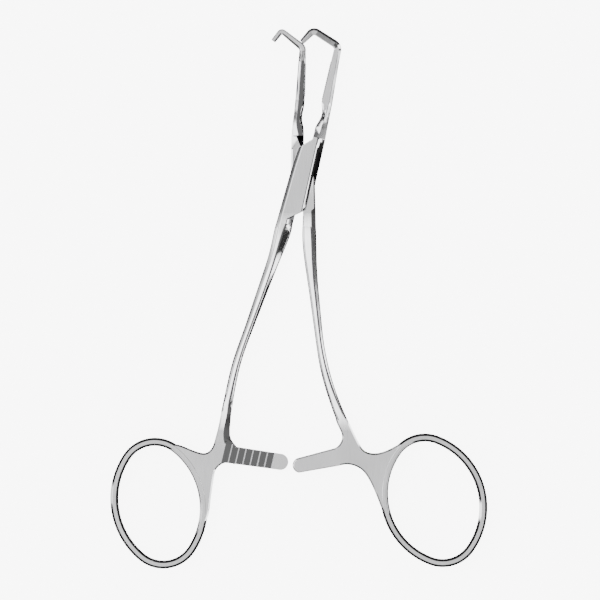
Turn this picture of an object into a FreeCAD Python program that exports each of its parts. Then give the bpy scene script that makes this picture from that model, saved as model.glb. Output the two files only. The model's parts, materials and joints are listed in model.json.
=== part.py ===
import FreeCAD, Part
import math
import os

os.makedirs("parts", exist_ok=True)
V = FreeCAD.Vector
UP = V(0, 0, 1)

# A box-lock clamp that lies flat. All sizes are in millimetres and degrees. Each half is
# drawn closed, with the line on which the jaws meet along +Y through the pivot, and is
# then leaned to its rest pose. Heights count from the middle plane of the instrument.

# rest pose: how far each half leans clockwise from the Y axis
box_lean = 13.25
tongue_lean = 1.6

# box lock
lock_height = 5.6
plate_thickness = 1.6
lap_clearance = 0.1
lap_radius = 9.05
lap_end_clearance = 0.1
pin_radius = 1.5
pin_running_clearance = 0.05
mating_clearance = 0.05
heel_shift = 0.2
lock_top = 12.6
lock_bottom = -14.0
plate_top_end = 11.85
plate_top_slope = 44.0
plate_bottom_end = -11.05
plate_bottom_slope = 38.0
shoulder_clearance = 0.27
lock_left_bevel = 0.95
lock_left_drop = 0.9
lock_ridge_bevel = 0.75
lap_edge_bevel = 0.5

# jaws: they meet along a straight line above the notch, then hook to the left. Each hook has
# half the height, so that the box half's hook closes over the other one.
notch_top = 23.4
bite_gap = 0.12
hook_gap = 0.06
hook_bevel = 0.25
hook_slope_length = 3.0
jaw_length = 16.0
tongue_bend_lag = 0.3
box_bend = 70.0
box_bend_radius = 0.8
box_middle_length = 6.9
box_tip_bend = 75.0
box_tip_radius = 0.5
box_tip_length = 4.1
tongue_bend = 55.0
tongue_bend_radius = 3.0
tongue_middle_length = 9.5
tongue_tip_bend = 90.0
tongue_tip_radius = 1.75
tongue_tip_length = 4.8

# atraumatic tooth rows: two on the box half's jaw, one between them on the other
tooth_pitch = 0.6
tooth_rise = 0.17
tooth_depth = 0.1
row_width = 0.3
row_offset = 0.45
row_margin = 0.5
row_root = 0.2

# shanks, from the lock to where they widen into the handles
shank_length = 56.0

# finger rings and the webs that carry them
ring_width = 2.35
ring_height = 3.3
ring_sides = 8
ring_end_radius = 8.7
web_height = 3.2
web_bevel = 0.45
web_rim = 0.35
box_ring_across = 19.3
box_ring_drop = 32.4
box_ring_opening = (11.85, 16.95)
box_ring_tilt = 21.9
tongue_ring_across = 41.0
tongue_ring_drop = 23.3
tongue_ring_opening = (13.1, 17.65)
tongue_ring_tilt = 18.65

# ratchet: teeth on top of one arm and under the other
ratchet_pitch = 2.12
ratchet_depth = 0.6
ratchet_clearance = 0.08
ratchet_lag = 0.1
box_arm_start = -4.25
box_arm_root = -0.4
box_arm_drop = 10.8
box_arm_end = 12.4
arm_slope = 4.3
arm_cut_drop = 9.0
arm_cut_length = 8.0
box_arm_teeth = 7
tongue_arm_start = 11.8
tongue_arm_end = 0.6
tongue_arm_drop = 7.5
tongue_arm_teeth = 4
pocket_end = 15.7
pocket_drop = 9.0

middle = lock_height / 2
lap_half = middle - plate_thickness
tongue_half = lap_half - lap_clearance
web_half = web_height / 2
heel_left = heel_shift - mating_clearance
heel_right = heel_shift + mating_clearance
handle_y = lock_bottom - shank_length
box_ring_centre = (-box_ring_across, handle_y - box_ring_drop)
tongue_ring_centre = (tongue_ring_across, handle_y - tongue_ring_drop)
reach = 200.0


def at(x, y, z=0.0):
    return V(x, y, middle + z)


def polygon(points):
    return Part.makePolygon(points + [points[0]])


def join(solids):
    return solids[0].fuse(solids[1:]).removeSplitter()


def line(start, end):
    return Part.makeLine(at(*start), at(*end))


def curve(points):
    spline = Part.BSplineCurve()
    spline.interpolate([at(x, y) for x, y in points])
    return spline.toShape()


def filled(edges, low, high):
    # a closed outline in the middle plane, filled between two heights
    solid = Part.Face(Part.Wire(edges)).extrude(V(0, 0, high - low))
    solid.translate(V(0, 0, low))
    return solid


def plate(corners, low, high):
    return filled([line(a, b) for a, b in zip(corners, corners[1:] + corners[:1])], low, high)


def block(left, right, low_y, high_y, low, high):
    return plate([(left, low_y), (right, low_y), (right, high_y), (left, high_y)], low, high)


def half_plane(x, y, slope, above):
    # everything above or below a line through x, y that rises to the right by the slope
    along = V(math.cos(math.radians(slope)), math.sin(math.radians(slope)), 0)
    side = V(-along.y, along.x, 0) if above else V(along.y, -along.x, 0)
    start = V(x, y, -reach) - along * reach
    far = start + along * (2 * reach)
    corners = [start, far, far + side * reach, start + side * reach]
    return Part.Face(polygon(corners)).extrude(V(0, 0, 2 * reach))


def mirrored(upper):
    # corners of a section over the middle plane, with the same ones under it
    return upper + [(x, -z) for x, z in reversed(upper)]


def bar_corners(left, right, left_bevel, right_bevel, left_top, right_top, left_edge, right_edge):
    return mirrored([
        (left, left_edge),
        (left + left_bevel, left_top),
        (right - right_bevel, right_top),
        (right, right_edge),
    ])


def bar(stations, ruled):
    # a bar through sections across the Y axis; each station is its y and its section's sizes
    wires = []
    for row in stations:
        wires.append(polygon([at(x, row[0], z) for x, z in bar_corners(*row[1:])]))
    return Part.makeLoft(wires, True, ruled)


# Hooked jaws: a frame is a place on the meeting line and the heading there, turned left
# from +Y. A section's corners are measured from the meeting line to the right.

def in_frame(frame, side, length):
    x, y, turn = frame
    across = V(math.cos(turn), math.sin(turn), 0)
    along = V(-math.sin(turn), math.cos(turn), 0)
    return V(x, y, 0) + across * side + along * length


def jaw_wire(frame, corners):
    points = []
    for side, z in corners:
        place = in_frame(frame, side, 0)
        points.append(at(place.x, place.y, z))
    return polygon(points)


def ahead(frame, length):
    place = in_frame(frame, 0, length)
    return place.x, place.y, frame[2]


def bend(frame, corners, radius, angle):
    # turns a section to the left about an upright axis at the radius from the meeting line
    centre = in_frame(frame, -radius, 0)
    solid = Part.Face(jaw_wire(frame, corners)).revolve(centre, UP, angle)
    out = frame[2] + math.radians(angle)
    end = (centre.x + radius * math.cos(out), centre.y + radius * math.sin(out), out)
    return solid, end


def taper(start, start_corners, end, end_corners):
    return Part.makeLoft([jaw_wire(start, start_corners), jaw_wire(end, end_corners)], True, True)


def tooth_row(frame, length, side, height):
    # saw teeth along the meeting line; side is 1 on the box half's jaw and -1 on the other
    count = int((length - 2 * row_margin) / tooth_pitch)
    start = (length - count * tooth_pitch) / 2
    end = start + count * tooth_pitch
    base = side * (bite_gap + row_root)
    crest = side * (bite_gap - tooth_rise)
    root = crest + side * tooth_depth
    outline = [(root, end), (base, end), (base, start)]
    for index in range(count):
        low = start + index * tooth_pitch
        outline.append((root, low))
        outline.append((crest, low + tooth_pitch / 2))
    points = []
    for across, along in outline:
        place = in_frame(frame, across, along)
        points.append(at(place.x, place.y, height - row_width / 2))
    return Part.Face(polygon(points)).extrude(V(0, 0, row_width))


def half_section(upper, sign):
    # one half of a section, upper for sign 1 and lower for -1, with bevels beside the other hook
    rims = (hook_bevel, 0, 0, hook_bevel)
    inner = [(x, sign * (hook_gap + rim)) for (x, z), rim in zip(upper, rims)]
    outer = [(x, sign * z) for x, z in upper]
    if sign > 0:
        return outer + inner[::-1]
    return inner + outer[::-1]


def hooked_jaw(sections, hook_sign, side, first_bend, second_bend, row_heights):
    # sections at the notch, at the end of full height, and round the two bends to the tip
    notch, knee = [mirrored(corners) for corners in sections[:2]]
    first, second, tip = [half_section(corners, hook_sign) for corners in sections[2:]]
    bend_at, bend_angle, bend_radius = first_bend
    middle_length, tip_bend, tip_radius, tip_length = second_bend
    first_cut = bend_radius * math.tan(math.radians(bend_angle / 2))
    second_cut = tip_radius * math.tan(math.radians(tip_bend / 2))
    full_length = bend_at - first_cut - hook_slope_length - notch_top
    start = (0.0, notch_top, 0.0)
    slope = ahead(start, full_length)
    one = ahead(slope, hook_slope_length)
    bend_one, two = bend(one, first, bend_radius, bend_angle)
    three = ahead(two, middle_length - first_cut - second_cut)
    bend_two, four = bend(three, second, tip_radius, tip_bend)
    five = ahead(four, tip_length - second_cut)
    pieces = [
        taper(start, notch, slope, knee),
        taper(slope, knee, one, first),
        bend_one,
        taper(two, first, three, second),
        bend_two,
        taper(four, second, five, tip),
    ]
    for height in row_heights:
        pieces.append(tooth_row(start, full_length, side, height))
    return join(pieces)


# Finger rings, webs and ratchet arms

def ring_axes(tilt):
    # long and short axis of an oval that leans to the left by the tilt
    angle = math.radians(tilt)
    return V(-math.sin(angle), math.cos(angle), 0), V(math.cos(angle), math.sin(angle), 0)


def oval_arcs(centre, opening, tilt):
    # the opening as four tangent arcs: each arc's centre, radius, middle direction and half angle
    long_axis, short_axis = ring_axes(tilt)
    heart = at(*centre)
    short, tall = opening
    away = tall - ring_end_radius
    side_radius = (short ** 2 - ring_end_radius ** 2 + away ** 2) / (2 * (short - ring_end_radius))
    side_half = math.degrees(math.atan2(away, side_radius - short))
    arcs = []
    for sign in (1, -1):
        arcs.append((heart + long_axis * (sign * away), ring_end_radius, long_axis * sign, 90 - side_half))
        arcs.append((heart - short_axis * (sign * (side_radius - short)), side_radius, short_axis * sign, side_half))
    return arcs


def oval(centre, opening, tilt, grow):
    edges = []
    for heart, radius, direction, half in oval_arcs(centre, opening, tilt):
        middle_angle = math.degrees(math.atan2(direction.y, direction.x))
        edges.append(Part.makeCircle(radius + grow, heart, UP, middle_angle - half, middle_angle + half))
    return edges


def finger_ring(centre, opening, tilt):
    # a flattened round bar, bent round the four arcs of its opening
    bends = []
    for heart, radius, direction, half in oval_arcs(centre, opening, tilt):
        corners = []
        for index in range(ring_sides):
            angle = (index + 0.5) * 2 * math.pi / ring_sides
            swell = 0.5 / math.cos(math.pi / ring_sides)
            out = radius + ring_width / 2 + ring_width * swell * math.cos(angle)
            corners.append(heart + direction * out + UP * (ring_height * swell * math.sin(angle)))
        section = Part.Face(polygon(corners))
        section.rotate(heart, UP, -half)
        bends.append(section.revolve(heart, UP, 2 * half))
    return join(bends)


def ring_side(centre, opening, tilt, heading, gap):
    # the half plane that holds a ring, cut square to a heading at a gap outside its band
    long_axis, short_axis = ring_axes(tilt)
    normal = V(math.cos(math.radians(heading)), math.sin(math.radians(heading)), 0)
    tall = (opening[1] + ring_width) * normal.dot(long_axis)
    wide = (opening[0] + ring_width) * normal.dot(short_axis)
    edge = V(centre[0], centre[1], 0) + normal * (math.hypot(tall, wide) + gap)
    return half_plane(edge.x, edge.y, heading - 90, False)


def level_edges(solid, height):
    z = middle + height
    return [e for e in solid.Edges if abs(e.BoundBox.ZMin - z) < 1e-4 and abs(e.BoundBox.ZMax - z) < 1e-4]


def web(edges, centre, opening, tilt):
    # a flat web with bevelled rims that ends inside the band of its ring
    solid = filled(edges, -web_half, web_half)
    solid = solid.makeChamfer(web_bevel, level_edges(solid, web_half) + level_edges(solid, -web_half))
    return solid.cut(filled(oval(centre, opening, tilt, web_rim), -reach, reach))


def below(places):
    # places given from the meeting line and the height of the shanks' lower end
    return [(x, handle_y + y) for x, y in places]


def around(centre, places):
    return [(centre[0] + x, centre[1] + y) for x, y in places]


def on_shank(stations):
    # stations given in fourteenths of the shank's length below the lock instead of by their y
    return [(lock_bottom - shank_length * row[0] / 14,) + row[1:] for row in stations]


def chain(points):
    return [line(a, b) for a, b in zip(points, points[1:])]


def saw_cut(start, level, depth, wall_at_start):
    # a wedge across a ratchet arm, with one steep wall and one long slope
    end = start + ratchet_pitch
    wall = start if wall_at_start else end
    top = handle_y - arm_cut_drop
    corners = [at(start, top, level), at(end, top, level), at(wall, top, level + depth)]
    return Part.Face(polygon(corners)).extrude(V(0, -arm_cut_length, 0))


# Box half: jaw

box_hook_sections = [
    [(bite_gap, 0.85), (0.50, 1.20), (2.30, 1.80), (3.32, 0.80)],
    [(bite_gap, 0.75), (0.45, 1.00), (1.65, 1.45), (2.45, 0.60)],
    [(bite_gap, 0.72), (0.42, 0.95), (1.50, 1.35), (2.33, 0.55)],
    [(bite_gap, 0.70), (0.40, 0.90), (1.40, 1.25), (2.22, 0.50)],
    [(bite_gap, 0.50), (0.36, 0.65), (1.05, 0.90), (1.65, 0.42)],
]
# y, left, right, left bevel, right bevel, height at left and right, edge height at left and right
box_notch_stations = [
    (notch_top, bite_gap, 3.32, 0.38, 1.02, 1.20, 1.80, 0.85, 0.80),
    (21.6, 0.62, 3.38, 0.35, 1.15, 1.30, 1.90, 0.95, 0.90),
    (19.4, 1.00, 3.47, 0.30, 1.30, 1.50, 2.05, 1.10, 1.00),
    (17.4, 0.58, 3.53, 0.35, 1.60, 1.70, 2.25, 1.30, 1.10),
    (15.4, mating_clearance, 3.62, 0.40, 1.85, 1.90, 2.45, 1.50, 1.15),
]
lock_ridge_at_top = 1.58
lock_right_at_top = 3.76
lock_side_at_top = 1.2
box_jaw_root = [
    box_notch_stations[-1],
    (lock_top, mating_clearance, lock_right_at_top, 0.02, lock_right_at_top - lock_ridge_at_top,
     middle, middle, middle - 0.02, lock_side_at_top),
]
box_first_bend = (notch_top + jaw_length, box_bend, box_bend_radius)
box_second_bend = (box_middle_length, box_tip_bend, box_tip_radius, box_tip_length)
box_jaw = join([
    hooked_jaw(box_hook_sections, 1, 1, box_first_bend, box_second_bend, [row_offset, -row_offset]),
    bar(box_notch_stations, False),
    bar(box_jaw_root, True),
])


# Box half: lock. Nine corners: left bevel, flat, ridge, narrow bevel, steep side in which
# the lap opens, and the underside.

def lock_wire(y, left, right, ridge, ridge_drop, side_top, side_bottom, under_bevel):
    corners = [
        (left, lock_left_drop - middle),
        (left, middle - lock_left_drop),
        (left + lock_left_bevel, middle),
        (ridge, middle),
        (ridge + lock_ridge_bevel, middle - ridge_drop),
        (right, side_top),
        (right, side_bottom),
        (right - under_bevel, -middle),
        (left + lock_left_bevel, -middle),
    ]
    return polygon([at(x, y, z) for x, z in corners])


side_width_at_top = lock_right_at_top - lock_ridge_at_top
drop_at_top = (middle - lock_side_at_top) * lock_ridge_bevel / side_width_at_top
lock_rows = [
    (lock_top, -3.10, lock_right_at_top, lock_ridge_at_top, drop_at_top,
     lock_side_at_top, -lock_side_at_top, side_width_at_top),
    (9.6, -3.36, 3.80, 1.58, 0.75, -0.9, -2.2, 0.6),
    (3.0, -3.92, 3.90, 1.60, 0.75, -0.9, -2.2, 0.6),
    (-4.0, -4.28, 3.95, 1.70, 0.75, -0.9, -2.2, 0.6),
    (lock_bottom, -4.66, 3.95, 1.95, 0.75, -0.9, -2.2, 0.6),
]
heel_sizes = (heel_left, lock_left_bevel, 1.9, middle, middle, middle - lock_left_drop, 0.9)
box_heel = [
    (-8.0, -4.432) + heel_sizes,
    (lock_bottom, -4.66) + heel_sizes,
]


def lap_space(half, radius, upper_right, lower_left):
    # where the tongue swings: a disc, open to the left above the pin and to the right below it
    disc = Part.makeCylinder(radius, 2 * half, at(0, 0, -half))
    upper = block(-reach, upper_right, 0, reach, -half, half)
    lower = block(lower_left, reach, -reach, 0, -half, half)
    return disc.fuse([upper, lower])


above_plates = half_plane(0, plate_top_end, plate_top_slope, True)
above_plates = above_plates.common(block(-reach, mating_clearance, 0, reach, -reach, reach))
below_plates = half_plane(0, plate_bottom_end, plate_bottom_slope, False)
lock_plates = Part.makeLoft([lock_wire(*row) for row in lock_rows], True, True)
lock_plates = lock_plates.cut([above_plates, below_plates])
box_lock = join([lock_plates, bar(box_heel, True)])
box_lock = box_lock.cut(lap_space(lap_half, lap_radius, mating_clearance, heel_left))
box_lock = box_lock.cut(Part.makeCylinder(pin_radius, lock_height))

lock_pin = Part.makeCylinder(pin_radius, lock_height)


# Box half: shank, web, ring and ratchet arm

rim = web_half - web_bevel
box_shank_stations = [box_heel[-1]] + on_shank([
    (1.0, -4.74, 0.05, 0.95, 2.35, 2.55, 2.55, 1.70, 0.85),
    (2.5, -4.72, -0.90, 0.90, 1.7, 2.25, 2.25, 1.45, 0.80),
    (4.5, -5.38, -2.12, 0.80, 1.1, 2.00, 2.00, 1.25, 0.75),
    (6.5, -6.12, -3.25, 0.75, 0.9, 1.85, 1.85, 1.10, 0.75),
    (8.5, -6.90, -4.36, 0.70, 0.8, 1.75, 1.75, 1.00, 0.75),
    (10.5, -7.78, -5.22, 0.65, 0.7, 1.65, 1.65, 1.00, 0.80),
    (12.25, -7.90, -5.26, 0.55, 0.8, web_half, web_half, 1.10, 0.80),
    (14.0, -7.75, -4.85, web_bevel, 1.1, web_half, web_half, rim, 0.75),
])
box_shank_stations.append((handle_y - 4, -7.45, -4.38, web_bevel, 1.5, web_half, web_half, rim, 0.60))
# the right bevel widens as the shank runs into the ratchet arm
box_arm_fillet = [box_shank_stations[-1]]
for drop, left, right, bevel, edge in (
    (6.3, -7.40, -4.08, 1.75, 0.52),
    (8.1, -7.30, -3.65, 2.00, 0.45),
    (9.2, -7.25, -3.05, 2.30, 0.42),
    (10.2, -7.20, -2.05, 2.95, 0.40),
    (11.4, -7.00, box_arm_root, 4.10, 0.35),
):
    box_arm_fillet.append((handle_y - drop, left, right, web_bevel, bevel, web_half, web_half, rim, edge))
box_web_left = below([(-7.75, 0), (-7.5, -6), (-7.6, -10.5), (-8.1, -13.5), (-9.3, -14.9)])
box_web_left += around(box_ring_centre, [(7.9, 17.2), (5.3, 17.5), (0.3, 17.9)])
box_web_inside = around(box_ring_centre, [(-1.7, 12.4), (10.3, -3.6)])
box_web_lower = around(box_ring_centre, [(12.3, -6.6), (14.1, -3.6), (14.9, 0.4), (14.55, 3.9), (13.95, 10.4)])
box_web_lower += below([(-5.3, -19), (-4.3, -17.3), (box_arm_root, -16.3)])
box_web_root = below([(box_arm_root, -13.5), (-6.2, -9), (-6.2, 0)])
box_web_edges = [curve(box_web_left)]
box_web_edges += chain([box_web_left[-1]] + box_web_inside + [box_web_lower[0]])
box_web_edges.append(curve(box_web_lower))
box_web_edges += chain([box_web_lower[-1]] + box_web_root + [box_web_left[0]])


def ratchet_arm(root, tip, low, high):
    # a flat arm: its root corners, then its tip as an arc through three places
    start, crown, end = below(tip)
    arc = Part.Arc(at(*start), at(*crown), at(*end)).toShape()
    return filled(chain([end] + below(root) + [start]) + [arc], low, high)


box_arm_root_corners = [(box_arm_start, -16.5), (box_arm_start, -11.35)]
box_arm_tip = [(box_arm_end, -10.1), (box_arm_end + 2.5, -12.2), (box_arm_end + 0.8, -14.75)]
box_handle = join([
    bar(box_shank_stations, False),
    bar(box_arm_fillet, True),
    web(box_web_edges, box_ring_centre, box_ring_opening, box_ring_tilt),
    finger_ring(box_ring_centre, box_ring_opening, box_ring_tilt),
    ratchet_arm(box_arm_root_corners, box_arm_tip, -web_half, -ratchet_clearance),
])
box_arm_zone = half_plane(box_arm_start, handle_y - box_arm_drop, arm_slope, False)
box_arm_zone = box_arm_zone.common(block(box_arm_start, reach, -reach, 0, -reach, reach))
box_handle = box_handle.cut(box_arm_zone.common(block(-reach, reach, -reach, 0, -ratchet_clearance, reach)))
box_ring_zone = ring_side(box_ring_centre, box_ring_opening, box_ring_tilt, 47.0, 0.3)
box_ring = box_handle.common(box_ring_zone)
box_shank = box_handle.cut([box_ring_zone, box_arm_zone])
box_ratchet = box_handle.common(box_arm_zone)
for tooth in range(box_arm_teeth):
    tooth_start = box_arm_start + tooth * ratchet_pitch
    box_ratchet = box_ratchet.cut(saw_cut(tooth_start, -ratchet_clearance, -ratchet_depth, False))


# Tongue half: jaw

tongue_hook_sections = [
    [(-2.85, 0.80), (-2.10, 1.80), (-0.62, 1.45), (-bite_gap, 0.85)],
    [(-2.30, 0.60), (-1.65, 1.42), (-0.52, 1.18), (-bite_gap, 0.75)],
    [(-2.15, 0.55), (-1.52, 1.35), (-0.50, 1.10), (-bite_gap, 0.72)],
    [(-1.70, 0.50), (-1.15, 1.25), (-0.44, 1.02), (-bite_gap, 0.70)],
    [(-1.50, 0.40), (-1.00, 0.90), (-0.38, 0.75), (-bite_gap, 0.50)],
]
tongue_notch_stations = [
    (notch_top, -2.85, -bite_gap, 0.75, 0.50, 1.80, 1.45, 0.80, 0.85),
    (21.8, -2.98, -0.18, 0.76, 0.55, 1.85, 1.48, 0.82, 0.82),
    (20.2, -3.08, -0.42, 0.80, 0.65, 1.90, 1.52, 0.85, 0.75),
    (18.4, -3.26, -0.70, 0.88, 0.75, 2.00, 1.60, 0.90, 0.70),
    (16.6, -3.45, -0.60, 1.00, 0.70, 2.15, 1.68, 0.95, 0.80),
    (15.0, -3.56, -0.20, 1.25, 0.50, 2.30, 1.75, 1.00, 1.10),
]
shoulder_height = middle - 0.3
tongue_jaw_root = [
    tongue_notch_stations[-1],
    (lock_top, -3.70, -mating_clearance, 1.95, 0.35, shoulder_height, 1.90, 1.10, 1.60),
]
tongue_shoulder = [
    tongue_jaw_root[-1],
    (8.0, -3.74, -mating_clearance, 3.00, 0.35, shoulder_height, 2.10, 1.10, 1.80),
]
tongue_first_bend = (notch_top + jaw_length - tongue_bend_lag, tongue_bend, tongue_bend_radius)
tongue_second_bend = (tongue_middle_length, tongue_tip_bend, tongue_tip_radius, tongue_tip_length)
tongue_jaw = join([
    hooked_jaw(tongue_hook_sections, -1, -1, tongue_first_bend, tongue_second_bend, [0.0]),
    bar(tongue_notch_stations, False),
    bar(tongue_jaw_root, True),
])


# Tongue half: lap in the lock, between the two shoulders

heel_height = middle - 0.15
tongue_heel = [
    (-7.5, heel_right, 3.90, 0.35, 1.35, heel_height, heel_height, heel_height - 0.4, 0.9),
    (lock_bottom, heel_right, 4.22, 0.35, 1.40, heel_height, heel_height, heel_height - 0.4, 0.9),
]
lap_sizes = (lap_edge_bevel, lap_edge_bevel, tongue_half, tongue_half,
             tongue_half - lap_edge_bevel, tongue_half - lap_edge_bevel)
lap_left = -3.72
lap_rows = [
    (lock_top, lap_left, 3.50) + lap_sizes,
    (0.0, lap_left, 3.50) + lap_sizes,
    (lock_bottom, lap_left, 4.22) + lap_sizes,
]
lap = bar(lap_rows, True)
lap = lap.common(lap_space(tongue_half, lap_radius - lap_end_clearance, -mating_clearance, heel_right))
upper_shoulder = half_plane(0, plate_top_end + shoulder_clearance, plate_top_slope, True)
lower_shoulder = half_plane(0, plate_bottom_end - shoulder_clearance, plate_bottom_slope, False)
tongue = join([
    lap,
    bar(tongue_shoulder, True).common(upper_shoulder),
    bar(tongue_heel, True).common(lower_shoulder),
])
tongue = tongue.cut(Part.makeCylinder(pin_radius + pin_running_clearance, lock_height))


# Tongue half: shank, web, ring and ratchet arm

tongue_shank_stations = [tongue_heel[-1]] + on_shank([
    (1.0, 0.32, 4.48, 0.40, 1.35, 2.45, 2.45, 2.00, 0.90),
    (2.5, 1.05, 4.76, 0.40, 1.25, 2.25, 2.25, 1.80, 0.85),
    (4.5, 2.46, 5.46, 0.40, 1.10, 2.00, 2.00, 1.55, 0.80),
    (6.5, 3.82, 6.43, 0.40, 0.95, 1.85, 1.85, 1.40, 0.80),
    (8.5, 5.12, 7.53, 0.40, 0.85, 1.75, 1.75, 1.30, 0.80),
    (10.5, 6.68, 9.38, 0.45, 0.85, 1.65, 1.65, 1.20, 0.80),
    (12.25, 8.82, 11.75, 0.45, 0.75, web_half, web_half, 1.15, 0.95),
    (14.0, 11.50, 14.87, web_bevel, web_bevel, web_half, web_half, rim, rim),
])
tongue_shank_stations.append((handle_y - 3, 12.95, 16.30, web_bevel, web_bevel, web_half, web_half, rim, rim))
tongue_web_right = below([(14.87, 0), (16.6, -3.4), (18.4, -6.8), (20.3, -9.3), (23.5, -10.0)])
tongue_web_right += around(tongue_ring_centre, [(-13.8, 14.4), (-10.0, 16.5), (-6.5, 17.9)])
tongue_web_inside = around(tongue_ring_centre, [(-5.0, 11.3), (-11.0, -2.7)])
tongue_web_lower = around(tongue_ring_centre, [(-14.1, -4.9), (-15.5, -2.2), (-16.8, 0.9)])
tongue_web_lower += below([(21.9, -17.8), (19.8, -15.1), (17.4, -13.8), (14.7, -13.5)])
tongue_web_left = below([(tongue_arm_start, -8.7), (13.1, -7.3), (13.6, -5.6), (13.0, -3.5), (11.5, 0)])
tongue_web_edges = [curve(tongue_web_right)]
tongue_web_edges += chain([tongue_web_right[-1]] + tongue_web_inside + [tongue_web_lower[0]])
tongue_web_edges.append(curve(tongue_web_lower))
tongue_web_edges += chain([tongue_web_lower[-1]] + below([(tongue_arm_start, -14.1)]) + [tongue_web_left[0]])
tongue_web_edges += [curve(tongue_web_left), line(tongue_web_left[-1], tongue_web_right[0])]
tongue_web = web(tongue_web_edges, tongue_ring_centre, tongue_ring_opening, tongue_ring_tilt)
pocket = block(-reach, pocket_end, -reach, handle_y - pocket_drop, -reach, ratchet_clearance)

tongue_arm_root_corners = [(tongue_arm_start + 1.4, -13.85), (tongue_arm_start + 1.4, -8.3)]
tongue_arm_tip = [(tongue_arm_end, -12.05), (tongue_arm_end - 1.3, -13.9), (tongue_arm_end + 0.6, -16.3)]
tongue_arm = ratchet_arm(tongue_arm_root_corners, tongue_arm_tip, ratchet_clearance, web_half)
for tooth in range(tongue_arm_teeth):
    tooth_start = box_arm_start + (tooth + 3) * ratchet_pitch - ratchet_lag
    tongue_arm = tongue_arm.cut(saw_cut(tooth_start, ratchet_clearance, ratchet_depth, True))

tongue_handle = join([
    bar(tongue_shank_stations, False),
    tongue_web.cut(pocket),
    finger_ring(tongue_ring_centre, tongue_ring_opening, tongue_ring_tilt),
    tongue_arm,
])
tongue_ring_zone = ring_side(tongue_ring_centre, tongue_ring_opening, tongue_ring_tilt, 162.0, 0.3)
tongue_arm_zone = block(-reach, tongue_arm_start, -reach, handle_y - tongue_arm_drop, -reach, reach)
tongue_ring = tongue_handle.common(tongue_ring_zone)
tongue_ratchet = tongue_handle.common(tongue_arm_zone)
tongue_shank = tongue_handle.cut([tongue_ring_zone, tongue_arm_zone])


# Rest pose and export

box_nodes = {
    "box_jaw": box_jaw,
    "box_lock": box_lock,
    "lock_pin": lock_pin,
    "box_shank": box_shank,
    "box_ratchet": box_ratchet,
    "box_ring": box_ring,
}
tongue_nodes = {
    "tongue_jaw": tongue_jaw,
    "tongue": tongue,
    "tongue_shank": tongue_shank,
    "tongue_ratchet": tongue_ratchet,
    "tongue_ring": tongue_ring,
}
for nodes, lean in ((box_nodes, box_lean), (tongue_nodes, tongue_lean)):
    for name, solid in nodes.items():
        solid.rotate(V(0, 0, 0), UP, -lean)
        solid.exportStep("parts/" + name + ".step")
        print(name, solid.isValid(), len(solid.Solids), round(solid.Volume, 1))
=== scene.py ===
# %% [markdown]
# # A box-lock clamp in polished steel
# The clamp is two flat forgings that cross in a box lock. Its solids come from
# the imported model, so their place and size are fixed. What this script adds is
# the softening of the edges, the steel with its polishing marks, the floor,
# the light and the camera.

# %% Load the solids
import json
import math

import bmesh
import bpy
import numpy as np
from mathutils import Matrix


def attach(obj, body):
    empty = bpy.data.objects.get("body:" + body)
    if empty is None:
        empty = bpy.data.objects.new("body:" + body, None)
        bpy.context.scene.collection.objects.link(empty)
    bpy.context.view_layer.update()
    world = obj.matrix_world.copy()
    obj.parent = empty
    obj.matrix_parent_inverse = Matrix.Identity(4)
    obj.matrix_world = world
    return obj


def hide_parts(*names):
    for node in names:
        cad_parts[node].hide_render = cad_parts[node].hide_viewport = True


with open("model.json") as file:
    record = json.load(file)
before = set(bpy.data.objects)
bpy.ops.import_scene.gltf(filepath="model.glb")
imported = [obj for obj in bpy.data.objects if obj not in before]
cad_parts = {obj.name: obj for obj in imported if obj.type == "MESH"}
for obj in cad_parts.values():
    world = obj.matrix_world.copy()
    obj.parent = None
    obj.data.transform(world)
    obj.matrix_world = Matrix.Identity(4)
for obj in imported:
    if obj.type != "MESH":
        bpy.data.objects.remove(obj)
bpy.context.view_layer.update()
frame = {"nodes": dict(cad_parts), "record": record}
nodes = frame["nodes"]
print("nodes:", sorted(nodes))

# %% [markdown]
# ## Where one forging is cut into zones
# Each half is one forging, but its solids are zones of it, cut along planes.
# Nothing may show at those cuts, so no edge there may be rounded. The planes
# could be typed in, but it is safer to find them: two zones share the corners
# on their cut, and the plane's normal is the direction in which those spread
# least.

# %% Cuts between zones


def corners(name):
    """A solid's corners as rows of x, y, z."""
    mesh = nodes[name].data
    flat = np.empty(len(mesh.vertices) * 3, np.float32)
    mesh.vertices.foreach_get("co", flat)
    return flat.reshape(-1, 3).astype(float)


def corner_set(name):
    """The same corners as a set, rounded to a thousandth of a millimetre."""
    return {tuple(row) for row in np.round(corners(name), 6)}


def cut_planes(name, others):
    """For each other zone: the direction in which the shared corners spread least, and its offset."""
    planes = []
    for other in others:
        shared = np.array(sorted(corner_set(name) & corner_set(other)))
        if len(shared) > 2:
            centre = shared.mean(axis=0)
            normal = np.linalg.svd(shared - centre)[2][2]
            planes.append((normal, float(normal @ centre)))
    return planes


zones = {}
for body in frame["record"]["behaviour"]["bodies"].values():
    for name in body:
        zones[name] = cut_planes(name, [other for other in body if other not in (name, "lock_pin")])
print("cuts:", {name: len(planes) for name, planes in zones.items()})

# %% [markdown]
# ## The riveted lock
# On such a clamp the pin is riveted into both plates of the box and ground
# flush, and in the photo it can't be seen. As a piece of its own it would
# leave a fine ring on the plate. Both faces are flat, so the bore's wall is
# taken out and each rim is filled with one flat face.

# %% Riveted lock
SAME_PLACE = 1e-6
# a little more than the radius of the pin and of the tongue's bore
BORE_EDGE = 0.0016


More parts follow.
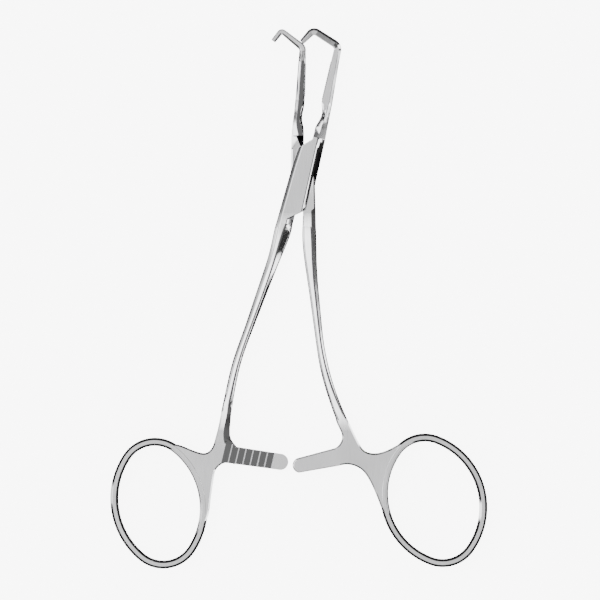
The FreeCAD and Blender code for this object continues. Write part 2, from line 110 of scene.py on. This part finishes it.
def riveted_copy(name, source, pin):
    """A copy of a solid whose bore is closed flush: its wall is taken out and each rim is filled flat."""
    work = bmesh.new()
    work.from_mesh(nodes[source].data)
    bmesh.ops.remove_doubles(work, verts=work.verts, dist=SAME_PLACE)
    wall = [face for face in work.faces if all(math.hypot(v.co.x, v.co.y) < BORE_EDGE for v in face.verts)]
    bmesh.ops.delete(work, geom=wall, context="FACES")
    rims = [edge for edge in work.edges if edge.is_boundary]
    bmesh.ops.holes_fill(work, edges=rims, sides=0)
    bmesh.ops.recalc_face_normals(work, faces=work.faces)
    mesh = bpy.data.meshes.new(name)
    work.to_mesh(mesh)
    work.free()
    piece = bpy.data.objects.new(name, mesh)
    bpy.context.collection.objects.link(piece)
    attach(piece, "box_half")
    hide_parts(source, pin)
    print(name, "bore faces closed:", len(wall), "rim edges:", len(rims))
    return piece


riveted_lock = riveted_copy("riveted_lock", "box_lock", "lock_pin")
shown = {name: piece for name, piece in nodes.items() if name != "lock_pin"}
shown["box_lock"] = riveted_lock

# %% [markdown]
# ## A helper for node trees
# The rounding, the steel and the light are all made with nodes. The helper
# joins an input where it is given a socket and sets it where it is given a
# value, so that each formula reads as a line or two.

# %% Node helper


class Wires:
    """A node tree that is being built."""

    def __init__(self, tree):
        self.tree = tree

    def add(self, kind, inputs=None, **settings):
        """A new node with its settings, and its inputs by name or number."""
        made = self.tree.nodes.new(kind)
        for name, value in settings.items():
            setattr(made, name, value)
        for name, value in (inputs or {}).items():
            self.put(value, made.inputs[name])
        return made

    def put(self, value, socket):
        """Joins a socket to an input, or sets a value on it."""
        if isinstance(value, bpy.types.NodeSocket):
            self.tree.links.new(value, socket)
        else:
            socket.default_value = value

    def number(self, operation, *values):
        """A sum with numbers."""
        return self.add("ShaderNodeMath", dict(enumerate(values)), operation=operation).outputs[0]

    def vector(self, operation, *values):
        """A sum with vectors. A dot product or a length gives a number."""
        made = self.add("ShaderNodeVectorMath", dict(enumerate(values)), operation=operation)
        return made.outputs["Value" if operation in ("DOT_PRODUCT", "LENGTH") else "Vector"]

    def blend(self, factor, first, second):
        """A colour between the first, at 0, and the second, at 1."""
        inputs = {"Factor": factor, "A": first, "B": second}
        return self.add("ShaderNodeMix", inputs, data_type="RGBA", clamp_factor=True).outputs["Result"]


print("node helper ready")

# %% [markdown]
# ## Which edges are on a cut
# The rounding is decided edge by edge in a node group, because the mesh of a
# solid itself stays as it is. The first question is whether an edge lies on a
# cut between two zones or in the pin's bore. It does where both its ends do.

# %% Edges on a cut
ON_PLANE = 2e-6


def on_cut(group, planes):
    """1 at an edge whose ends both lie on a cut or in the bore."""
    place = group.add("GeometryNodeInputPosition").outputs[0]
    radius = group.vector("LENGTH", group.vector("MULTIPLY", place, (1, 1, 0)))
    found = group.number("LESS_THAN", radius, BORE_EDGE)
    for normal, offset in planes:
        along = group.vector("DOT_PRODUCT", place, tuple(normal))
        away = group.number("ABSOLUTE", group.number("SUBTRACT", along, offset))
        found = group.number("MAXIMUM", found, group.number("LESS_THAN", away, ON_PLANE))
    edge = group.add("GeometryNodeInputMeshEdgeVertices")
    ends = []
    for end in (0, 1):
        inputs = {"Index": edge.outputs[end], "Value": found}
        pick = group.add("GeometryNodeFieldAtIndex", inputs, domain="POINT", data_type="FLOAT")
        ends.append(pick.outputs[0])
    return group.number("MULTIPLY", *ends)


print("an edge is on a cut within", ON_PLANE, "m")

# %% [markdown]
# ## Which edges are rounded, and how much
# A forging is tumbled and polished, so its edges are soft, but not all alike.
# The outer edges of shanks, jaws and lock are rounded more than the ridges on
# top. The small teeth stay crisp, or they would wash out. The neck and the
# thin hooked tip of a jaw get only a fifth, because a full bevel overlaps
# itself in their bends. Below the height where a shank runs out into the web
# of its ring, its edges are left as they are.

# %% Edge amounts
MIDDLE_HEIGHT = 0.0028
# for each piece: how far above or below the middle its outer edges lie, give or take how much,
# and the share of the rounding that all its other edges get
OUTER_EDGES = {
    "box_shank": (0.0006, 0.0006, 0.7), "tongue_shank": (0.0006, 0.0006, 0.7),
    "box_jaw": (0.0006, 0.0006, 0.5), "tongue_jaw": (0.0006, 0.0006, 0.5),
    "box_lock": (0.0020, 0.0004, 0.5), "tongue_ratchet": (0.0016, 0.0001, 0.0),
}
SHANK_END = {"box_shank": -0.0665, "tongue_shank": -0.070}
# degrees that each jaw's tooth row is turned from +Y to +X, half its width, and its start and end
JAW_HEADING = {"box_jaw": 13.25, "tongue_jaw": 1.6}
TOOTH_REACH = 0.0010
TOOTH_ROOT = 0.0195
TOOTH_TOP = 0.037
HOOK_SHARE = 0.2


def edge_middle(group):
    """The middle of each edge."""
    ends = group.add("GeometryNodeInputMeshEdgeVertices")
    both = group.vector("ADD", ends.outputs["Position 1"], ends.outputs["Position 2"])
    return group.vector("MULTIPLY", both, (0.5, 0.5, 0.5))


def outer_share(group, name):
    """1 for an outer edge, found by its height from the middle, and less for the others."""
    height_away, reach, others = OUTER_EDGES[name]
    height = group.vector("DOT_PRODUCT", edge_middle(group), (0, 0, 1))
    away = group.number("ABSOLUTE", group.number("SUBTRACT", height, MIDDLE_HEIGHT))
    outer = group.number("COMPARE", away, height_away, reach)
    return group.number("MULTIPLY_ADD", outer, 1 - others, others)


def jaw_share(group, name):
    """1 beside the tooth row, 0 on it and on the neck in line with it, and a fifth elsewhere."""
    turn = math.radians(JAW_HEADING[name])
    middle = edge_middle(group)
    along = group.vector("DOT_PRODUCT", middle, (math.sin(turn), math.cos(turn), 0))
    sideways = group.vector("DOT_PRODUCT", middle, (math.cos(turn), -math.sin(turn), 0))
    beside = group.number("GREATER_THAN", group.number("ABSOLUTE", sideways), TOOTH_REACH)
    above = group.number("GREATER_THAN", along, TOOTH_TOP)
    toothed = group.number("SUBTRACT", group.number("GREATER_THAN", along, TOOTH_ROOT), above)
    thin = group.number("MULTIPLY", group.number("MAXIMUM", above, beside), HOOK_SHARE)
    return group.number("MAXIMUM", group.number("MULTIPLY", toothed, beside),
                        group.number("MULTIPLY", group.number("SUBTRACT", 1.0, toothed), thin))


def rounding(group, name, turned):
    """How much of its piece's width each edge gets, from 0 to 1."""
    weight = turned
    if name in SHANK_END:
        along = group.vector("DOT_PRODUCT", edge_middle(group), (0, 1, 0))
        weight = group.number("MULTIPLY", weight, group.number("GREATER_THAN", along, SHANK_END[name]))
    if name in JAW_HEADING:
        weight = group.number("MULTIPLY", weight, jaw_share(group, name))
    if name in OUTER_EDGES:
        weight = group.number("MULTIPLY", weight, outer_share(group, name))
    return weight


print("pieces whose outer edges are rounded more:", len(OUTER_EDGES))

# %% [markdown]
# ## Softening the edges
# A solid arrives as loose triangles. Welding gives one skin, and dissolving
# joins its flat triangles, because a bevel needs whole faces. The node group
# stores each edge's share, and the bevel rounds by it. Weighted normals then
# keep the flats flat, which polished steel shows at once. The tongue has a
# bore, and one face can't run round a hole, so it keeps its triangles. A
# single short edge holds the bevel back on a whole piece, so the pieces that
# have room for it are let free.

# %% Edge softening
EDGE_ANGLE = math.radians(22)
FLAT_ANGLE = math.radians(0.8)
LEAST_SHARE = 0.05
BEVEL_STEPS = 3
EDGE_WIDTH = {
    "box_jaw": 0.00040, "tongue_jaw": 0.00040, "box_lock": 0.00042, "tongue": 0.00018,
    "box_shank": 0.00052, "tongue_shank": 0.00052, "box_ratchet": 0.00016, "tongue_ratchet": 0.00045,
    "box_ring": 0.00046, "tongue_ring": 0.00046,
}
WITH_ROOM = ("box_shank", "tongue_shank", "box_jaw", "tongue_jaw", "box_lock", "tongue_ratchet")
BORED = ("tongue",)


def edge_group(name):
    """A node group that stores each edge's share of the width, and keeps cuts and unrounded edges sharp."""
    tree = bpy.data.node_groups.new("edges of " + name, "GeometryNodeTree")
    for direction in ("INPUT", "OUTPUT"):
        tree.interface.new_socket("Geometry", in_out=direction, socket_type="NodeSocketGeometry")
    group = Wires(tree)
    cut = on_cut(group, zones[name])
    angle = group.add("GeometryNodeInputMeshEdgeAngle").outputs["Unsigned Angle"]
    turned = group.number("SUBTRACT", group.number("GREATER_THAN", angle, EDGE_ANGLE), cut)
    weight = rounding(group, name, turned)
    crisp = group.number("MULTIPLY", turned, group.number("LESS_THAN", weight, LEAST_SHARE))
    start = group.add("NodeGroupInput").outputs[0]
    smooth = group.add("GeometryNodeSetShadeSmooth", {"Geometry": start})
    inputs = {"Geometry": smooth.outputs[0], "Selection": group.number("MAXIMUM", cut, crisp),
              "Shade Smooth": False}
    sharp = group.add("GeometryNodeSetShadeSmooth", inputs, domain="EDGE")
    inputs = {"Geometry": sharp.outputs[0], "Name": "bevel_weight_edge", "Value": weight}
    store = group.add("GeometryNodeStoreNamedAttribute", inputs, data_type="FLOAT", domain="EDGE")
    group.put(store.outputs[0], group.add("NodeGroupOutput").inputs[0])
    return tree


def soften(name, width):
    """Merges a piece's corners and flat triangles, rounds its edges and smooths its normals."""
    piece = shown[name]
    piece.modifiers.new("merge corners", "WELD").merge_threshold = SAME_PLACE
    if name not in BORED:
        flats = piece.modifiers.new("merge flats", "DECIMATE")
        flats.decimate_type = "DISSOLVE"
        flats.angle_limit = FLAT_ANGLE
    piece.modifiers.new("mark edges", "NODES").node_group = edge_group(name)
    bevel = piece.modifiers.new("soft edges", "BEVEL")
    bevel.width = width
    bevel.segments = BEVEL_STEPS
    bevel.limit_method = "WEIGHT"
    bevel.face_strength_mode = "FSTR_ALL"
    bevel.use_clamp_overlap = name not in WITH_ROOM
    normals = piece.modifiers.new("flat faces", "WEIGHTED_NORMAL")
    normals.keep_sharp = True
    normals.use_face_influence = True


for name, width in EDGE_WIDTH.items():
    soften(name, width)
print("softened:", len(EDGE_WIDTH))

# %% [markdown]
# ## Polishing marks
# The instrument is polished to a bright satin. Fine marks run along its
# length, a slow cloudiness comes from buffing, and the flats roll a little,
# as hand work does. All three are noises on the solids' own coordinates, so
# they stay on the metal in every view. The marks are a noise that is
# stretched along Y.

# %% Marks
MARK_SCALE = (2500, 180, 2500)
MARK_DETAIL = 4.0
MARK_HEIGHT = 0.00001
MARK_STRENGTH = 0.25
CLOUD_SCALE = 120.0
CLOUD_DETAIL = 3.0
CLOUD_VALUES = (0.3, 0.7)
SATIN = (0.07, 0.13)
ROLL_SCALE = 70.0
ROLL_DETAIL = 1.0
ROLL_HEIGHT = 0.0002


def noise(wires, place, scale, detail):
    """A cloud of values from 0 to 1."""
    inputs = {"Vector": place, "Scale": scale, "Detail": detail}
    return wires.add("ShaderNodeTexNoise", inputs).outputs["Fac"]


def satin(wires, place):
    """Roughness that drifts between two values."""
    cloud = noise(wires, place, CLOUD_SCALE, CLOUD_DETAIL)
    inputs = {"Value": cloud, "From Min": CLOUD_VALUES[0], "From Max": CLOUD_VALUES[1],
              "To Min": SATIN[0], "To Max": SATIN[1]}
    return wires.add("ShaderNodeMapRange", inputs).outputs["Result"]


def raised(wires, height, distance, strength, normal):
    """The normal of a surface that is raised by a height."""
    inputs = {"Height": height, "Distance": distance, "Strength": strength, "Normal": normal}
    return wires.add("ShaderNodeBump", inputs).outputs["Normal"]


print("marks are", round(MARK_SCALE[0] / MARK_SCALE[1]), "times as long as wide")

# %% [markdown]
# ## Leaning flats
# In the photo the flats of the shanks are brighter than the lock and the webs,
# as if they leaned a few degrees to one side, and hand dressing could do that.
# The solids are flat there. So the steel's normal is pushed sideways by the
# tangent of such an angle. The push fades in along Y from the lock and is gone
# again within the webs.

# %% Lean
LEAN = 0.09
LEAN_ENDS = (-0.074, -0.010)
# where the push is full, as shares of the way between those ends
LEAN_FULL = (0.25, 0.75)


def leaning_normal(wires, place):
    """The surface's normal with a push to -X, by a smooth curve of the place along Y."""
    along = wires.add("ShaderNodeSeparateXYZ", {0: place}).outputs["Y"]
    inputs = {"Value": along, "From Min": LEAN_ENDS[0], "From Max": LEAN_ENDS[1]}
    share = wires.add("ShaderNodeMapRange", inputs).outputs["Result"]
    curve = wires.add("ShaderNodeFloatCurve", {"Value": share})
    points = curve.mapping.curves[0].points
    points[0].location = (0, 0)
    points[1].location = (1, 0)
    for station in LEAN_FULL:
        points.new(station, 1)
    curve.mapping.update()
    push = wires.add("ShaderNodeCombineXYZ", {"X": wires.number("MULTIPLY", curve.outputs[0], -LEAN)})
    carried = wires.add("ShaderNodeVectorTransform", {0: push.outputs[0]}, vector_type="VECTOR",
                        convert_from="OBJECT", convert_to="WORLD")
    normal = wires.add("ShaderNodeNewGeometry").outputs["Normal"]
    return wires.vector("NORMALIZE", wires.vector("ADD", normal, carried.outputs[0]))


print("lean in degrees:", round(math.degrees(math.atan(LEAN)), 1))

# %% [markdown]
# ## Polished steel
# One metal covers the whole clamp. Inside the slot of the lock, the shade is painted
# into its colour as a near-black band: on the tongue beyond a slanted line, and on
# the slot's floor by its height. A second piece of geometry for the dark would lie
# in the same place as the metal, so the colour is changed instead.

# %% Steel
DARK_STEEL = (0.66, 0.66, 0.67, 1)
LIGHT_STEEL = (0.80, 0.80, 0.81, 1)
# painted shade: a near-black colour that stands in for the shade deep inside the lock's slot
PAINTED_SLOT_SHADE = (0.006, 0.006, 0.007, 1)
# a direction, and the middle and half-width of the band of painted shade along it
TONGUE_SHADE_BAND = ((2.3, 1, 0), 0.1078, 0.1)
SLOT_FLOOR_SHADE_BAND = ((0, 0, 1), 0.0016, 0.00015)


def steel(name, band=None):
    """Polished metal, with a band of painted shade where one is given."""
    material = bpy.data.materials.new(name)
    material.use_nodes = True
    wires = Wires(material.node_tree)
    shader = material.node_tree.nodes["Principled BSDF"]
    shader.inputs["Metallic"].default_value = 1.0
    place = wires.add("ShaderNodeTexCoord").outputs["Object"]
    stretched = wires.add("ShaderNodeMapping", {"Vector": place, "Scale": MARK_SCALE}).outputs["Vector"]
    marks = noise(wires, stretched, 1.0, MARK_DETAIL)
    colour = wires.blend(marks, DARK_STEEL, LIGHT_STEEL)
    if band:
        direction, middle, reach = band
        # painted shade: inside the band the colour turns near-black
        inside = wires.number("COMPARE", wires.vector("DOT_PRODUCT", place, direction), middle, reach)
        colour = wires.blend(inside, colour, PAINTED_SLOT_SHADE)
    roll = noise(wires, place, ROLL_SCALE, ROLL_DETAIL)
    rolling = raised(wires, roll, ROLL_HEIGHT, 1.0, leaning_normal(wires, place))
    wires.put(colour, shader.inputs["Base Color"])
    wires.put(satin(wires, place), shader.inputs["Roughness"])
    wires.put(raised(wires, marks, MARK_HEIGHT, MARK_STRENGTH, rolling), shader.inputs["Normal"])
    return material


polished = steel("polished steel")
tongue_steel_with_shade = steel("steel with painted shade in the slot", TONGUE_SHADE_BAND)
lock_steel_with_shade = steel("steel with painted shade on the slot floor", SLOT_FLOOR_SHADE_BAND)
for name, piece in nodes.items():
    for slot in piece.material_slots:
        slot.material = tongue_steel_with_shade if name == "tongue" else polished
riveted_lock.data.materials.append(lock_steel_with_shade)
print("finishes:", [material.name for material in (polished, tongue_steel_with_shade, lock_steel_with_shade)])

# %% [markdown]
# ## The card under the clamp
# The clamp lies on white card. The card gives off light of its own, so that it
# stays evenly white, and it isn't seen in the steel, because the steel should
# mirror the studio only.

# %% Floor
FLOOR_HALF = 3.0
FLOOR_TOP = -0.0002
CARD_WHITE = (0.93, 0.93, 0.93, 1)
CARD_ROUGHNESS = 0.9
CARD_GLOW = 7.5
floor_corners = [(x * FLOOR_HALF, y * FLOOR_HALF, FLOOR_TOP) for x, y in ((-1, -1), (1, -1), (1, 1), (-1, 1))]
floor_mesh = bpy.data.meshes.new("floor")
floor_mesh.from_pydata(floor_corners, [], [(0, 1, 2, 3)])
floor = bpy.data.objects.new("floor", floor_mesh)
bpy.context.collection.objects.link(floor)
floor.visible_glossy = False
card = bpy.data.materials.new("white card")
card.use_nodes = True
card_shader = card.node_tree.nodes["Principled BSDF"]
card_shader.inputs["Base Color"].default_value = CARD_WHITE
card_shader.inputs["Roughness"].default_value = CARD_ROUGHNESS
card_shader.inputs["Emission Color"].default_value = (1, 1, 1, 1)
card_shader.inputs["Emission Strength"].default_value = CARD_GLOW
floor_mesh.materials.append(card)
print("floor at", FLOOR_TOP, "m")

# %% [markdown]
# ## The studio
# Polished steel has no tone of its own: each facet shows one place in the
# studio. Seen from above, a facet that leans by an angle mirrors what stands
# at twice that angle from straight up, on the side that it faces. So the
# studio is a world of light and dark cards, each list giving brightness by
# angle, and all of it is set against the photo. Lamps would show as
# small bright shapes in the facets, and cards don't.

# %% Cards
BRIGHTEST = 6.0
LEFT = [(0, 1.3), (5, 1.6), (9, 5.0), (20, 5.0), (30, 1.5), (50, 1.4), (64, 5.0), (107, 5.0),
        (111, 0.05), (180, 0.02)]
LEFT_LOCK = [(0, 1.3), (98, 1.2), (104, 0.03), (180, 0.02)]
LEFT_FAR = [(0, 1.3), (5, 1.6), (9, 5.0), (56, 4.0), (66, 0.18), (94, 0.10), (101, 0.03), (180, 0.02)]
LEFT_NEAR = [(0, 1.3), (19, 1.3), (25, 0.14), (46, 0.14), (54, 1.3), (86, 1.3), (92, 0.03), (180, 0.02)]
RIGHT = [(0, 1.3), (4, 1.1), (7, 0.03), (20, 0.05), (26, 0.22), (56, 0.19), (62, 0.04), (71, 0.05),
         (75, 5.0), (96, 5.0), (100, 0.03), (180, 0.02)]
RIGHT_DARK = [(0, 1.3), (4, 1.1), (7, 0.03), (20, 0.05), (26, 0.22), (60, 0.17), (101, 0.12),
              (106, 0.03), (180, 0.02)]
END_FAR = [(0, 1.3), (10, 1.3), (22, 0.25), (44, 0.2), (56, 1.2), (72, 1.2), (82, 0.08), (96, 0.03),
           (180, 0.02)]
END_NEAR = [(0, 1.3), (74, 1.1), (82, 0.08), (96, 0.03), (180, 0.02)]

world = bpy.data.worlds.new("studio")
world.use_nodes = True
bpy.context.scene.world = world
studio = Wires(world.node_tree)
towards = studio.add("ShaderNodeTexCoord").outputs["Generated"]
sight = studio.add("ShaderNodeSeparateXYZ", {0: towards})
from_top = studio.number("DIVIDE", studio.number("ARCCOSINE", sight.outputs["Z"]), math.pi)


def cards(stops):
    """Brightness by angle from straight up."""
    made = studio.add("ShaderNodeValToRGB", {0: from_top})
    elements = made.color_ramp.elements
    while len(elements) < len(stops):
        elements.new(0.5)
    for element, (degrees, level) in zip(elements, stops):
        element.position = degrees / 180
        element.color = (level / BRIGHTEST, level / BRIGHTEST, level / BRIGHTEST, 1)
    return made.outputs[0]


print("stops on the left:", len(LEFT), "and on the right:", len(RIGHT))

# %% [markdown]
# ## Where the cards stand
# Left, right and the two ends have cards of their own, and along Y one list
# takes over from another, because the edges of the jaws, the lock, the shanks
# and the rings each turn a little differently and need a stretch of their own.
# The side is the sine of the compass angle, so that it doesn't depend on the
# height.

# %% Studio
LEAST_LEVEL = 1e-6
SIDE_EDGE = (0.54, 0.60)


def crossing(value, low, high):
    """0 where the value is below low, 1 above high, and smooth between."""
    inputs = {"Value": value, "From Min": low, "From Max": high}
    made = studio.add("ShaderNodeMapRange", inputs, interpolation_type="SMOOTHSTEP", clamp=True)
    return made.outputs["Result"]


def stretches(value, first, changes):
    """The first list of cards, and past each crossing the next one."""
    mixed = cards(first)
    for low, high, stops in changes:
        mixed = studio.blend(crossing(value, low, high), mixed, cards(stops))
    return mixed


forward = sight.outputs["Y"]
off_square = studio.number("ABSOLUTE", forward)
steepness = studio.number("MULTIPLY", sight.outputs["Z"], sight.outputs["Z"])
level = studio.number("SQRT", studio.number("MAXIMUM", studio.number("SUBTRACT", 1.0, steepness), LEAST_LEVEL))
side = studio.number("DIVIDE", sight.outputs["X"], level)
left = stretches(forward, LEFT_NEAR, [(-0.14, -0.07, LEFT), (0.10, 0.17, LEFT_LOCK), (0.245, 0.30, LEFT_FAR)])
right = stretches(off_square, RIGHT_DARK, [(0.09, 0.15, RIGHT), (0.44, 0.52, RIGHT_DARK)])
ends = stretches(forward, END_NEAR, [(-0.02, 0.02, END_FAR)])
around = studio.blend(crossing(side, -SIDE_EDGE[1], -SIDE_EDGE[0]), left, ends)
around = studio.blend(crossing(side, *SIDE_EDGE), around, right)
background = world.node_tree.nodes["Background"]
studio.put(around, background.inputs["Color"])
background.inputs["Strength"].default_value = BRIGHTEST
print("studio nodes:", len(world.node_tree.nodes))

# %% [markdown]
# ## Camera
# The view is from straight above and far away, so that nothing leans. The
# lens is worked out from the distance and the width that the picture shows.

# %% Camera
PICTURE_SIDE = 0.1764
PICTURE_CENTRE = (-0.00088, -0.0356)
DISTANCE = 2.0
SENSOR = 36
camera_data = bpy.data.cameras.new("camera")
camera_data.sensor_width = SENSOR
camera_data.lens = SENSOR * DISTANCE / PICTURE_SIDE
camera = bpy.data.objects.new("camera", camera_data)
camera.location = (*PICTURE_CENTRE, DISTANCE)
bpy.context.collection.objects.link(camera)
bpy.context.scene.camera = camera
print("lens:", round(camera_data.lens, 1), "mm")
